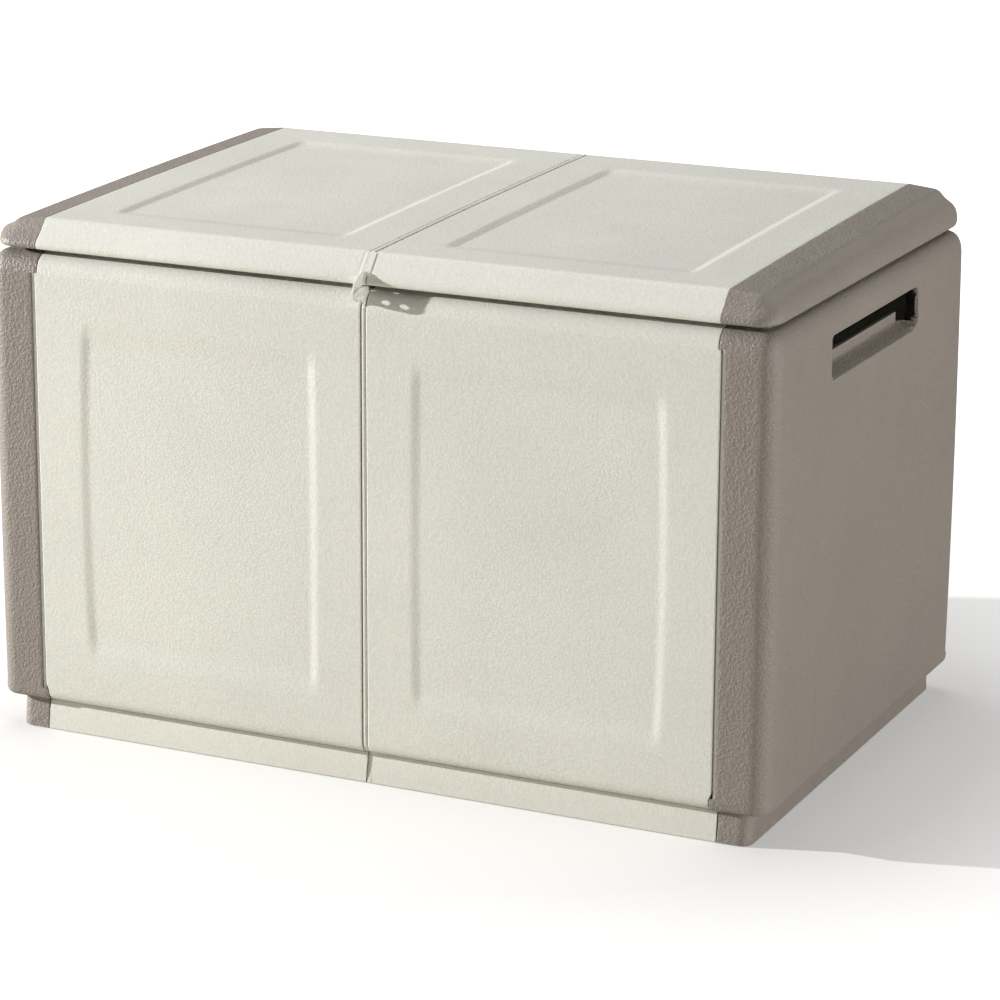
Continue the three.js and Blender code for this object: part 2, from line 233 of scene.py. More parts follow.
def block(low, high, soft=0.6):
    """A box between two corners, in millimetres, with softened edges."""
    low, high = Vector(map(min, low, high)), Vector(map(max, low, high))
    bpy.ops.mesh.primitive_cube_add(size=1, location=(low + high) / 2 * MM)
    obj = bpy.context.object
    obj.scale = (high - low) * MM
    bpy.ops.object.transform_apply(location=True, rotation=True, scale=True)
    if soft:
        edit(obj)
        bpy.ops.mesh.select_all(action="SELECT")
        bpy.ops.mesh.bevel(offset=soft * MM, segments=2, affect="EDGES")
        leave_edit()
    return obj


def plate(outline, xa, xb, corner=0.0, soft=0.4):
    """An outline of (y, z) points extruded along X, its corners and then its edges rounded."""
    bpy.ops.mesh.primitive_circle_add(vertices=len(outline), fill_type="NGON")
    obj = bpy.context.object
    bpy.ops.object.transform_apply(location=True, rotation=True, scale=True)
    for vert, (y, z) in zip(obj.data.vertices, outline):
        vert.co = Vector((xa, y, z)) * MM
    edit(obj)
    bpy.ops.mesh.select_all(action="SELECT")
    if corner:
        bpy.ops.mesh.bevel(offset=corner * MM, segments=4, affect="VERTICES")
        bpy.ops.mesh.select_all(action="SELECT")
    bpy.ops.mesh.extrude_region_move(
        TRANSFORM_OT_translate={"value": ((xb - xa) * MM, 0, 0)})
    bpy.ops.mesh.select_all(action="SELECT")
    bpy.ops.mesh.normals_make_consistent(inside=False)
    leave_edit()
    if soft:
        apply(obj, "BEVEL", width=soft * MM, segments=2, limit_method="ANGLE",
              angle_limit=math.radians(50))
    return obj


def tube(radius, wall, xa, xb, y, z, soft=0.6):
    """A tube along X with softened rims."""
    bpy.ops.mesh.primitive_cylinder_add(
        vertices=40, radius=radius * MM, depth=abs(xb - xa) * MM, end_fill_type="NOTHING",
        location=Vector(((xa + xb) / 2, y, z)) * MM, rotation=(0, math.pi / 2, 0))
    obj = bpy.context.object
    bpy.ops.object.transform_apply(location=True, rotation=True, scale=True)
    apply(obj, "SOLIDIFY", thickness=wall * MM, offset=-1)
    apply(obj, "BEVEL", width=soft * MM, segments=2, limit_method="ANGLE")
    return obj


def cut(obj, cutter):
    """Takes one solid away from another."""
    apply(obj, "BOOLEAN", operation="DIFFERENCE", object=cutter, solver="EXACT")
    bpy.data.objects.remove(cutter)


def mirrored(rows, side):
    """Rows of points for the right-hand side, or the same reflected to the left."""
    return [[(side * x, y, z) for x, y, z in row] for row in rows]


def raised(section, rows_across):
    """Rows of points over a section of (y, z) points, from (x, rise along the outward normal)."""
    return [[(x, y + ny * rise, z + nz * rise) for x, rise in rows_across]
            for (y, z), (ny, nz) in zip(section, normals_of(section))]


def settle(obj, body, finish, *nodes):
    """Gives a finished piece its resin, its smoothing and its body, and hides the nodes it stands
    for.
    """
    only(obj)
    bpy.ops.object.shade_smooth_by_angle(angle=SMOOTH_ANGLE)
    # Flat faces keep one shade right up to their softened edges.
    apply(obj, "WEIGHTED_NORMAL", keep_sharp=True)
    obj.data.materials.clear()
    obj.data.materials.append(resin(finish))
    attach(obj, body)
    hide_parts(*nodes)


# ------------------------------------------------------------------ finishes


def node_group(name, inputs, outputs):
    """An empty shader node group with the named sockets, and its two end nodes."""
    group = bpy.data.node_groups.new(name, "ShaderNodeTree")
    kinds = {"value": "NodeSocketFloat", "colour": "NodeSocketColor", "vector": "NodeSocketVector"}
    for socket, kind, default in inputs:
        made = group.interface.new_socket(socket, in_out="INPUT", socket_type=kinds[kind])
        if default is not None:
            made.default_value = default
    for socket, kind in outputs:
        group.interface.new_socket(socket, in_out="OUTPUT", socket_type=kinds[kind])
    return group, group.nodes.new("NodeGroupInput"), group.nodes.new("NodeGroupOutput")


def feed(tree, node, sources):
    """Links each named or numbered input of a node, or gives it a value."""
    for socket, source in sources.items():
        if isinstance(source, bpy.types.NodeSocket):
            tree.links.new(source, node.inputs[socket])
        else:
            node.inputs[socket].default_value = source
    return node


def add_node(tree, kind, sources=None, **values):
    """A shader node with its properties set and its inputs fed."""
    node = tree.nodes.new(kind)
    for key, value in values.items():
        setattr(node, key, value)
    return feed(tree, node, sources or {})


def spread(tree, value, low, high, out_low=0.0, out_high=1.0):
    """A value mapped from one range to another, held at its ends."""
    node = add_node(tree, "ShaderNodeMapRange", {
        "Value": value, "From Min": low, "From Max": high, "To Min": out_low, "To Max": out_high})
    return node.outputs["Result"]


def blend_colour(tree, amount, first, second):
    """One colour laid over another by an amount."""
    node = add_node(tree, "ShaderNodeMix", data_type="RGBA")
    return feed(tree, node, {0: amount, 6: first, 7: second}).outputs[2]


def calculate(tree, how, first, second):
    """One sum on two values."""
    node = add_node(tree, "ShaderNodeMath", {0: first, 1: second}, operation=how)
    return node.outputs["Value"]


def leather_grain():
    """The fine leather grain that the mould leaves on every outer face."""
    group, come, go = node_group(
        "leather_grain",
        [("Place", "vector", None), ("Cell", "value", 420.0)],
        [("Height", "value"), ("Cells", "value")])
    warp = add_node(group, "ShaderNodeTexNoise", {
        "Vector": come.outputs["Place"], "Scale": 150.0, "Detail": 2.0, "Roughness": 0.6})
    bent = add_node(group, "ShaderNodeVectorMath", {
        0: warp.outputs["Color"], 1: (0.0035, 0.0035, 0.0035)}, operation="MULTIPLY")
    place = add_node(group, "ShaderNodeVectorMath", {
        0: come.outputs["Place"], 1: bent.outputs["Vector"]}, operation="ADD")
    cells = add_node(group, "ShaderNodeTexVoronoi", {
        "Vector": place.outputs["Vector"], "Scale": come.outputs["Cell"]}, feature="F1")
    fine = add_node(group, "ShaderNodeTexNoise", {
        "Vector": come.outputs["Place"], "Scale": 900.0, "Detail": 3.0, "Roughness": 0.65})
    wide = add_node(group, "ShaderNodeTexNoise", {
        "Vector": come.outputs["Place"], "Scale": 150.0, "Detail": 2.0})
    domes = spread(group, cells.outputs["Distance"], 0.0, 0.75, 1.0, 0.0)
    pores = calculate(group, "MULTIPLY", fine.outputs["Fac"], 0.35)
    height = calculate(group, "ADD", domes, pores)
    swell = calculate(group, "MULTIPLY", wide.outputs["Fac"], 0.9)
    height = calculate(group, "ADD", height, swell)
    group.links.new(height, go.inputs["Height"])
    group.links.new(domes, go.inputs["Cells"])
    return group


def pigment_drift_and_grain_shade():
    """Slow drift and fine speckle in the colour of the resin, and painted shade in its grain: darker
    in the creases between the domes, a little lighter on their tops.
    """
    group, come, go = node_group(
        "pigment_drift_and_grain_shade",
        [("Place", "vector", None), ("Colour", "colour", None), ("Cells", "value", 0.5)],
        [("Colour", "colour")])
    slow = add_node(group, "ShaderNodeTexNoise", {
        "Vector": come.outputs["Place"], "Scale": 5.0, "Detail": 4.0, "Roughness": 0.55})
    speck = add_node(group, "ShaderNodeTexNoise", {
        "Vector": come.outputs["Place"], "Scale": 700.0, "Detail": 2.0, "Roughness": 0.7})
    shade = spread(group, slow.outputs["Fac"], 0.3, 0.7, 0.955, 1.03)
    speckle = spread(group, speck.outputs["Fac"], 0.3, 0.7, 0.95, 1.04)
    shade = calculate(group, "MULTIPLY", shade, speckle)
    # Painted shade in the grain: darker in the creases between the domes, a little lighter on their
    # tops.
    grain_shade = spread(group, come.outputs["Cells"], 0.0, 1.0, 0.94, 1.03)
    shade = calculate(group, "MULTIPLY", shade, grain_shade)
    toned = add_node(group, "ShaderNodeVectorMath", {
        0: come.outputs["Colour"], "Scale": shade}, operation="SCALE")
    group.links.new(toned.outputs["Vector"], go.inputs["Colour"])
    return group


def edge_highlight_and_dust():
    """Masks for convex edges, which get a painted highlight and slightly lower roughness, and for
    dust that settles on upward faces and near the ground.
    """
    group, come, go = node_group(
        "edge_highlight_and_dust",
        [("Place", "vector", None), ("Edge start", "value", 0.53), ("Dust", "value", 0.25)],
        [("Edge", "value"), ("Dust", "value")])
    shape = group.nodes.new("ShaderNodeNewGeometry")
    patch = add_node(group, "ShaderNodeTexNoise", {
        "Vector": come.outputs["Place"], "Scale": 60.0, "Detail": 5.0, "Roughness": 0.65})
    edge_end = calculate(group, "ADD", come.outputs["Edge start"], 0.09)
    edge = spread(group, shape.outputs["Pointiness"], come.outputs["Edge start"], edge_end)
    edge = calculate(group, "MULTIPLY", edge, spread(group, patch.outputs["Fac"], 0.35, 0.65))
    parts = add_node(group, "ShaderNodeSeparateXYZ", {"Vector": shape.outputs["Normal"]})
    spot = add_node(group, "ShaderNodeSeparateXYZ", {"Vector": come.outputs["Place"]})
    up = spread(group, parts.outputs["Z"], 0.6, 1.0, 0.0, 0.55)
    low = spread(group, spot.outputs["Z"], 0.0, 0.09, 0.7, 0.0)
    film = calculate(group, "MAXIMUM", up, low)
    dust = calculate(group, "MULTIPLY", film, spread(group, patch.outputs["Fac"], 0.38, 0.7))
    dust = calculate(group, "MULTIPLY", dust, come.outputs["Dust"])
    group.links.new(edge, go.inputs["Edge"])
    group.links.new(dust, go.inputs["Dust"])
    return group


GROUPS = {"leather_grain": leather_grain, "pigment_drift_and_grain_shade": pigment_drift_and_grain_shade,
          "edge_highlight_and_dust": edge_highlight_and_dust}


def grouped(tree, name, sources):
    """A node that places one of the shared groups, which is built on first use."""
    node = tree.nodes.new("ShaderNodeGroup")
    node.node_tree = bpy.data.node_groups.get(name) or GROUPS[name]()
    return feed(tree, node, sources)


# Each resin's first colour is a painted highlight laid on its convex edges; dust is the colour of
# settled dust.
RESINS = {
    "cream_resin": {"cell": 300.0, "relief": 0.0002, "settled": 0.16,
                    "highlight_colour": (0.86, 0.85, 0.76, 1.0), "dust": (0.56, 0.52, 0.43, 1.0)},
    "taupe_resin": {"cell": 320.0, "relief": 0.0007, "settled": 0.22,
                    "highlight_colour": (0.43, 0.39, 0.34, 1.0), "dust": (0.46, 0.43, 0.37, 1.0)},
}
DULL = 0.50  # roughness of clean resin, which drifts a little over a moulding


def resin(name):
    """A grained, satin, injection-moulded resin."""
    finish = name + "_grained"
    material = bpy.data.materials.get(finish)
    if material:
        return material
    look = RESINS[name]
    material = bpy.data.materials.new(finish)
    material.use_nodes = True
    tree = material.node_tree
    shader = tree.nodes["Principled BSDF"]
    place = tree.nodes.new("ShaderNodeTexCoord").outputs["Object"]
    base = tuple(colours().cream if name == "cream_resin" else colours().taupe)
    grain = grouped(tree, "leather_grain", {"Place": place, "Cell": look["cell"]})
    # The tint also carries painted shade in the creases of the grain.
    tint = grouped(tree, "pigment_drift_and_grain_shade", {
        "Place": place, "Colour": base, "Cells": grain.outputs["Cells"]})
    edges_and_dust = grouped(tree, "edge_highlight_and_dust", {"Place": place, "Dust": look["settled"]})
    # Painted highlight: convex edges are laid over with a lighter colour.
    highlight_amount = calculate(tree, "MULTIPLY", edges_and_dust.outputs["Edge"], 0.45)
    colour = blend_colour(tree, highlight_amount, tint.outputs["Colour"], look["highlight_colour"])
    colour = blend_colour(tree, edges_and_dust.outputs["Dust"], colour, look["dust"])
    tree.links.new(colour, shader.inputs["Base Color"])
    cloud = add_node(tree, "ShaderNodeTexNoise", {"Vector": place, "Scale": 14.0, "Detail": 5.0})
    rough = spread(tree, cloud.outputs["Fac"], 0.3, 0.7, DULL - 0.05, DULL + 0.06)
    duller = calculate(tree, "MULTIPLY", edges_and_dust.outputs["Dust"], 0.5)
    rough = calculate(tree, "ADD", rough, duller)
    polished = calculate(tree, "MULTIPLY", edges_and_dust.outputs["Edge"], 0.10)
    rough = calculate(tree, "SUBTRACT", rough, polished)
    tree.links.new(rough, shader.inputs["Roughness"])
    relief = add_node(tree, "ShaderNodeBump", {
        "Strength": 0.75, "Distance": look["relief"], "Height": grain.outputs["Height"]})
    tree.links.new(relief.outputs["Normal"], shader.inputs["Normal"])
    shader.inputs["IOR"].default_value = 1.46
    shader.inputs["Specular IOR Level"].default_value = 0.42
    return material


# ------------------------------------------------------------------ walls


def wall_section(inset=0.0):
    """(y, z) down a wall from its inner lip over the shoulder to its foot, y outwards."""
    points = [(RIM_Y + inset, SEAT_Z), (RIM_Y + inset, 571.5),
              (RIM_Y + 0.5 + inset, 573.6 - inset)]
    points += [(HALF_D - d - inset, z - inset) for d, z in reversed(SHOULDER)]
    flat = [534, 528, 520, 512, 503, 496, 490, 485, 480, 475, 470, 465, 459, 452, 440, 420, 395,
            370, 345, 320, 295, 270, 245, 220, 195, 170, 150, 138, 131, 125, 120, 115, 110, 105,
            100, 94, 87, 78, 68, 58, 51]
    points += [(HALF_D - inset, z) for z in flat]
    foot = [(HALF_D - 0.4, 47), (HALF_D - 1.6, 43.2), (HALF_D - 3.8, 40.2), (HALF_D - 6.8, 38.6),
            (HALF_D - 11, FOOT_Z), (HALF_D - 20, FOOT_Z)]
    return points + [(y - inset, z) for y, z in foot]


def normals_of(points):
    """Outward directions along a section of (y, z) points that runs from top to bottom."""
    out = []
    for i in range(len(points)):
        ay, az = points[max(i - 1, 0)]
        by, bz = points[min(i + 1, len(points) - 1)]
        y, z = az - bz, by - ay
        size = math.hypot(y, z) or 1.0
        out.append((y / size, z / size))
    return out


FIELD_X = (64.0, 350.0)
FIELD_Z = (110.0, 482.0)
FIELD_MIDDLE_Z, FIELD_REACH = 296.0, 190.0
FIELD_END = 16.0  # half the width of the step at the top and foot of a wall's field
WALL_END_X = BAND_X - 4.6
TAB_Z = (52.0, 545.0)  # the end panel's corner band is wider above and below this
TAB_W = 3.0


def wall_field(x, z):
    """Depth of the sunken field in a wall panel; its outer side bows outwards."""
    half = sizes().field_border / MM / 2
    bow = 1 - ((z - FIELD_MIDDLE_Z) / FIELD_REACH) ** 2
    inner, outer = FIELD_X[0] - 1.5 * bow, FIELD_X[1] + 5.0 * bow
    across = ease(inner - half, inner + half, x) * (1 - ease(outer - half, outer + half, x))
    up = ease(FIELD_Z[0] - FIELD_END, FIELD_Z[0] + FIELD_END, z) * (
        1 - ease(FIELD_Z[1] - FIELD_END, FIELD_Z[1] + FIELD_END, z))
    return sizes().field_depth / MM * across * up * (1 - 0.25 * bow)


def wall_columns():
    """(x, tuck) across a wall panel: x from the seam outwards, and how far the edge is tucked in."""
    steps = PANEL_STEPS + (360, 363, 368, 376, 388, 400, 408)
    edge = [(0.0, 1.6), (0.35, 0.6), (1.3, 0.0)]
    return ([(SEAM_X + x, tuck) for x, tuck in edge] + [(x, 0.0) for x in steps]
            + [(WALL_END_X - x, tuck) for x, tuck in reversed(edge)])


def wall_panel(side, face):
    """A wall panel's skin, with its flanges, ribs and tongue behind it."""
    section = wall_section()
    rows = []
    for (y, z), (ny, nz) in zip(section, normals_of(section)):
        middle = TAB_Z[0] < z < TAB_Z[1]
        row = []
        for x, tuck in wall_columns():
            depth = wall_field(x, z) if middle else 0.0
            shift = 0.0 if middle else TAB_W * ease(404, 412, x)
            row.append((x - shift, face * (y - ny * tuck - depth), z - nz * tuck))
        rows.append(row)
    skin = sheet("skin", mirrored(rows, side), (0, face, 0.3))
    apply(skin, "SOLIDIFY", thickness=sizes().skin, offset=-1, use_even_offset=True)
    inner, outer = HALF_D - 21.5, HALF_D - 3.0
    foot = FOOT_Z + 3

    def bar(xa, xb, za, zb, ya=inner, yb=outer):
        return block((side * xa, face * ya, za), (side * xb, face * yb, zb))

    upright = ((SEAM_X + 0.2, SEAM_X + 4), (140, 143), (276, 279),
               (WALL_END_X - 7, WALL_END_X - 3.4))
    bars = [bar(xa, xb, foot, BAR_TOP) for xa, xb in upright]
    rail = bar(SEAM_X + 2, WALL_END_X - 4, 300, 303)
    tongue = bar(WALL_END_X - 5, 440, 60, 540, 299.4, 303.6)
    joint = bar(WALL_END_X + 1.3, BAND_X - 0.2, TAB_Z[0] - 2, TAB_Z[1] + 1, 300, HALF_D - 1.4)
    return [skin, *bars, rail, tongue, joint]


def hinges_on(side):
    """The places along X of one side's hinges."""
    middles = [round((low.x + high.x) / 20) * 10 for low, high in PINS]
    return [x for x in middles if x * side > 0]


def hinge_fixed(x):
    """The chest's two knuckles of one hinge, on arms from the back panel."""
    parts = []
    for s in (-1, 1):
        xa, xb = x + s * 9, x + s * 24
        parts.append(tube(KNUCKLE_R, KNUCKLE_WALL, xa, xb, HINGE_Y, HINGE_Z))
        arm = [(HALF_D - 13, HINGE_Z - 16), (HALF_D - 13, HINGE_Z + 5), (HINGE_Y - 8, HINGE_Z + 5),
               (HINGE_Y - 5, HINGE_Z + 5), (HINGE_Y - 5, HINGE_Z - 7), (HINGE_Y - 9, HINGE_Z - 11)]
        parts.append(plate(arm, xa, xb, soft=0.8))
    return parts


class DECKBOX_OT_wall_panels(bpy.types.Operator):
    """Front and back wall panels with their sunken fields, and the fixed hinge knuckles"""
    bl_idname = "deckbox.wall_panels"
    bl_label = "Wall Panels"

    def execute(self, context):
        for side_name, side in SIDES:
            for face_name, face in FACES:
                parts = wall_panel(side, face)
                if face > 0:
                    for x in hinges_on(side):
                        parts += hinge_fixed(x)
                name = f"{face_name}_panel_{side_name}"
                settle(join(name + "_moulding", parts), "chest", "cream_resin", name)
        return {"FINISHED"}


def wall_bead(face, section):
    """The rounded bead that shows between two wall panels."""
    half = [(-2.65, -3.4), (-2.62, -1.4), (-2.2, -0.45), (-1.2, -0.08)]
    across = half + [(0, 0)] + [(-x, rise) for x, rise in reversed(half)]
    rows = [[(x, face * y, z) for x, y, z in row] for row in raised(section, across)]
    bead = sheet("bead", rows, (0, face, 0.2))
    return apply(bead, "SOLIDIFY", thickness=0.004, offset=-1)


def ear(outline, xa, xb):
    """A padlock ear: a plate with two holes."""
    obj = plate(outline, xa, xb, corner=1.6, soft=0.0)
    for y, z in EAR_HOLES:
        bpy.ops.mesh.primitive_cylinder_add(
            vertices=32, radius=EAR_HOLE_R * MM, depth=20 * MM, location=(0, y * MM, z * MM),
            rotation=(0, math.pi / 2, 0))
        bpy.ops.object.transform_apply(location=True, rotation=True, scale=True)
        cut(obj, bpy.context.object)
    apply(obj, "BEVEL", width=0.55 * MM, segments=3, limit_method="ANGLE",
          angle_limit=math.radians(50))
    return obj


class DECKBOX_OT_centre_posts(bpy.types.Operator):
    """Front and back centre posts: the bead, the cover strip inside and the padlock ear"""
    bl_idname = "deckbox.centre_posts"
    bl_label = "Centre Posts"

    def execute(self, context):
        for face_name, face in FACES:
            section = [p for p in wall_section(0.8) if p[0] > RIM_Y + 5][:-2]
            cover = block((-COVER_X, face * 282.7, FOOT_Z + 4), (COVER_X, face * 286.2, 560), 1.2)
            web = block((-2.2, face * 284, FOOT_Z + 1), (2.2, face * 302, BAR_TOP), 0.3)
            parts = [wall_bead(face, section), cover, web]
            if face < 0:
                outline = [(-298, 534), (-298, 570), (-319, 571), (-325, 570), (EAR_Y, 567),
                           (EAR_Y, 562), (-325.6, 558.2), (-321, 557), (-316.8, 557.6),
                           (-313, 554.6), (-309, 552.5), (-305.5, 545)]
                parts.append(ear(outline, *EAR_X))
                # The foot of the post reaches over the plinth.
                parts.append(block((3.9, -299, 36), (11.5, -293, 41), 1.2))
            name = face_name + "_centre_post"
            settle(join(name + "_moulding", parts), "chest", "cream_resin", name)
        return {"FINISHED"}


# ------------------------------------------------------------------ end panels


GRIP_Y, GRIP_Z = 140.0, (485.0, 530.0)
SLOT_Z = 501.0
SIDE_FIELD_Y, SIDE_FIELD_DEPTH = 166.0, 1.3
WAIST, WAIST_Z, WAIST_REACH = 2.2, 300.0, 270.0  # how the end walls bow out at mid height
BASE_W, BASE_Y, BASE_LEAN = 457.0, 299.0, 4.5
LIP_INSET = 28.0  # from the end panel's face to the inside of its rim


def half_span():
    """Places along an end wall from its middle to the start of a corner's curve."""
    return [0, 20, 40, 60, 80, 96, 108, 116, 121, 125, 128, 130.5, 132.5, 134.5, 136, 137.2, 138.2,
            139, 139.6, 140.2, 141, 142.5, 145, 149, 154, 158, 161, 163.5, 166, 168.5, 171, 174,
            180, 194, 212, 232, 250, 264, 274, 280]


FRONT_STEPS = (0.0, 0.012, 0.04, 0.12, 0.3, 0.5, 0.66, 0.78, 0.88, 1.0)
ARC_STEPS = tuple(i / 14 for i in range(1, 15))
SPAN_END = 284.0  # where half_span meets the start of a corner's curve


def end_ring(half_x, half_y, radius, x_from):
    """Points round one end of the box, from the front joint to the back one: each is
    (x, y, outward x, outward y, share of the end wall)."""
    r = max(radius, 0.0)
    cx, cy = half_x - r, half_y - r
    front = []
    for t in FRONT_STEPS:
        x = x_from + t * (cx - x_from)
        front.append((x, -half_y, 0.0, -1.0, 0.0))
    for t in ARC_STEPS:
        a = t * math.pi / 2
        front.append((cx + r * math.sin(a), -cy - r * math.cos(a), math.sin(a), -math.cos(a),
                      ease(0.2, 1.0, t)))
    scale = cy / SPAN_END
    wall = [(half_x, -y * scale, 1.0, 0.0, 1.0) for y in reversed(half_span())]
    rest = [(x, -y, nx, -ny, w) for x, y, nx, ny, w in reversed(front + wall[:-1])]
    return front + wall + rest


def grip_end(y, z):
    """How far the grip opening reaches along the wall at a height; its rear corners are round."""
    radius = 14.0 if y > 0 else 3.0
    over = max(GRIP_Z[0] + radius - z, z - GRIP_Z[1] + radius, 0.0)
    return GRIP_Y - radius + math.sqrt(max(radius ** 2 - min(over, radius) ** 2, 0.0))


def grip_recess(y, z):
    """Depth of the grip recess at a point of the end wall."""
    end = grip_end(y, z)
    ends = 1 - ease(end - 4, end + 1.5, abs(y)) ** 1.5
    sill = ease(GRIP_Z[0] - 4, GRIP_Z[0] + 6, z) ** 0.8
    top = 1 - ease(GRIP_Z[1] - 0.4, GRIP_Z[1] + 0.9, z)
    return sizes().grip_depth / MM * ends * sill * top


def in_slot(y, z):
    """The finger slot behind the grip opening; it turns down at its rear end."""
    low = SLOT_Z if y < GRIP_Y - 17 else GRIP_Z[0] + 5
    return low < z < GRIP_Z[1] - 0.2 and abs(y) < grip_end(y, z) + (0.4 if y > 0 else -1.0)


def end_wall_levels():
    """Rings up an end panel: (z, half width, half depth, corner radius, relief share)."""
    rings = []
    for z, d in ((0, 1.2), (0.7, 0.2), (3, 0), (12, 0), (22, 0), (31, 0), (36.4, 0), (37.9, -0.5),
                 (38.3, -2.0)):
        lean = BASE_Y - BASE_LEAN * min(z, 38) / 38
        rings.append((z, BASE_W - d, lean - d, 15 - d, 0.0))
    for w, dd in ((466, 299.5), (474.5, 303)):
        rings.append((FOOT_Z, w, dd, CORNER_R - (HALF_W - w) * 0.4, 0.1))
    for z, d in ((38.9, 3.0), (40.6, 1.3), (43.4, 0.4), (47.5, 0)):
        rings.append((z, HALF_W - d, HALF_D - d, CORNER_R - d, 0.35))
    plain = [51.6, 52.4, 58, 66, 76, 88, 104, 130, 160, 200, 240, 280, 320, 360, 395, 425, 450,
             464, 472, 477, 480, 481.4, 482.6, 483.8, 485, 486.2, 487.4, 488.6, 489.8, 491.2, 493,
             496, SLOT_Z, 506, 512, 517, 520, 522.5, 524.5, 526.2, 527.5, 528.5, 529.4, 529.9,
             530.3, 530.7, 531.1, 532.2, 534.5, 538]
    rings += [(z, HALF_W, HALF_D, CORNER_R, 1.0) for z in plain]
    for d, z in SHOULDER:
        rings.append((z, HALF_W - d, HALF_D - d, max(CORNER_R - d, 4.0), max(1 - d / 12, 0.0)))
    rings.append((573.4, HALF_W - 27.4, HALF_D - 27.7, 4.0, 0.0))
    rings += [(z, HALF_W - LIP_INSET, HALF_D - LIP_INSET, 4.0, 0.0) for z in (571, SEAT_Z)]
    return rings


def end_panel(side):
    """One end wall with its corner bands and foot, in one skin."""
    rows = []
    for z, half_x, half_y, radius, share in end_wall_levels():
        x_from = BAND_X if TAB_Z[0] < z < TAB_Z[1] else BAND_X - 7.2
        if z <= FOOT_Z:
            x_from = BAND_X - 0.5
        row = []
        for x, y, nx, ny, wall in end_ring(half_x, half_y, radius, x_from):
            grow = 0.0
            if share > 0:
                grow -= share * wall * WAIST * ((z - WAIST_Z) / WAIST_REACH) ** 2
                across = 1 - ease(SIDE_FIELD_Y - 5, SIDE_FIELD_Y + 5, abs(y))
                up = ease(62, 84, z) * (1 - ease(536, 552, z))
                grow -= SIDE_FIELD_DEPTH * across * up * wall
                if wall == 1.0:
                    grow -= grip_recess(y, z)
            row.append((x + nx * grow, y + ny * grow, z))
        for i, tuck in ((0, 1.3), (1, 0.4), (-1, 1.3), (-2, 0.4)):
            x, y, zz = row[i]
            row[i] = (x, y - math.copysign(tuck, y), zz)
        rows.append(row)
    skin = sheet("skin", mirrored(rows, side), (side, 0, 0.1))
    pick_faces(skin, lambda c: in_slot(c.y, c.z) and c.x * side > 440)
    bpy.ops.mesh.delete(type="FACE")
    leave_edit()
    apply(skin, "SOLIDIFY", thickness=sizes().skin, offset=-1)
    parts = [skin]
    for face in (-1, 1):
        def bar(xa, xb, ya, yb, za, zb):
            return block((side * xa, face * ya, za), (side * xb, face * yb, zb), 0.8)
        parts += [bar(442, 446, 295, 305, 41, 554), bar(424, 446, 295, 299, 41, 554)]
    return parts


class DECKBOX_OT_end_panels(bpy.types.Operator):
    """End panels with corner bands, grip recess, shoulder and feet"""
    bl_idname = "deckbox.end_panels"
    bl_label = "End Panels"

    def execute(self, context):
        for side_name, side in SIDES:
            name = "side_panel_" + side_name
            settle(join(name + "_moulding", end_panel(side)), "chest", "taupe_resin", name)
        return {"FINISHED"}


# ------------------------------------------------------------------ floor


FLOOR_RIB_Z = (33.0, 35.4)


class DECKBOX_OT_floor(bpy.types.Operator):
    """Floor panels with the front and back plinths, and the keel between them"""
    bl_idname = "deckbox.floor"
    bl_label = "Floor and Plinth"

    def execute(self, context):
        foot, top = FLOOR_HI.y, FLOOR_HI.z
        half = [(foot - 4, 0), (foot - 0.8, 0), (foot, 1.0), (foot - 0.5, 6), (foot - 1.7, 16),
                (foot - 3.2, 27), (foot - 4.4, 34.5), (foot - 7.2, top - 0.6), (foot - 10, top),
                (268, top), (268, 34)]
        under = [(-(foot - 11), 30), (foot - 11, 30)]
        outline = under + half + [(-y, z) for y, z in reversed(half)]
        for side_name, side in SIDES:
            xa, xb = sorted((side * SEAM_X, side * (BAND_X - 2)))
            parts = [plate(outline, xa, xb, soft=0.5),
                     block((side * 410, -283, 30), (side * 449, 283, 34))]
            low, high = FLOOR_RIB_Z
            for x in range(45, 410, 52):
                parts.append(block((side * x - 2, -250, low), (side * x + 2, 250, high), 0.9))
            for y in (-170, -60, 60, 170):
                parts.append(block((side * 26, y - 2, low), (side * 430, y + 2, high), 0.9))
            name = "floor_panel_" + side_name
            settle(join(name + "_moulding", parts), "chest", "cream_resin", name)
        web = [(-foot, 0), (foot, 0), (foot - 7.8, top), (-(foot - 7.8), top)]
        parts = [plate([(y * 0.9985, z) for y, z in web], *BEAD_X, soft=0.5),
                 block((-COVER_X, -266, 34.3), (COVER_X, 266, 37.3), 1.0)]
        settle(join("floor_keel_moulding", parts), "chest", "cream_resin", "floor_keel")
        return {"FINISHED"}


# ------------------------------------------------------------------ lid


def crown(y):
    """Height of the lid at a depth: it rises to the back with a slight crown."""
    t = min(max(y / (LID_D - BEVEL_D), -1.0), 1.0)
    return BEVEL_Z + (CROWN_Z - BEVEL_Z) * ((1 + t) / 2 + CROWN * (1 - t * t))


# The lid's edge from the lip up, as (inset, z): along its front and back, and along its ends.
EDGE_SECTION = ((2.4, 571.5), (0.0, 571.8), (-1.5, 573.2), (-2.2, 575.6), (-1.6, 578.6), (0.6, 581.8),
                (4.2, 585.4), (9.0, 590.0), (13.0, 594.8), (16.6, 599.0), (18.8, 601.4),
                (21.0, 603.2), (24.0, 604.3))
END_SECTION = ((6.0, 571.5), (3.4, 572.3), (1.4, 574.4), (0.3, 577.8), (0.0, 582.5), (0.4, 589.0),
               (2.0, 595.0), (5.0, 599.0), (9.0, 601.6), (13.0, 603.6), (16.0, 606.6),
               (19.6, 611.0), (24.0, 614.4))
CAP_START_X = CAP_JOINT + 0.4
EDGE_INSET = EDGE_SECTION[-1][0]
TOP_INSETS = (26.0, 29.0, 34.0, 41.0, 50.0, CAP_W - CAP_START_X)
END_SLOPE = 0.10  # fall of an end cap's top towards the end
LID_FIELD_Y = (-226.0, 206.0)
LID_FIELD_END = 12.0
LID_STRIP_Y = 282.0  # the strips under the lid's skin reach to here


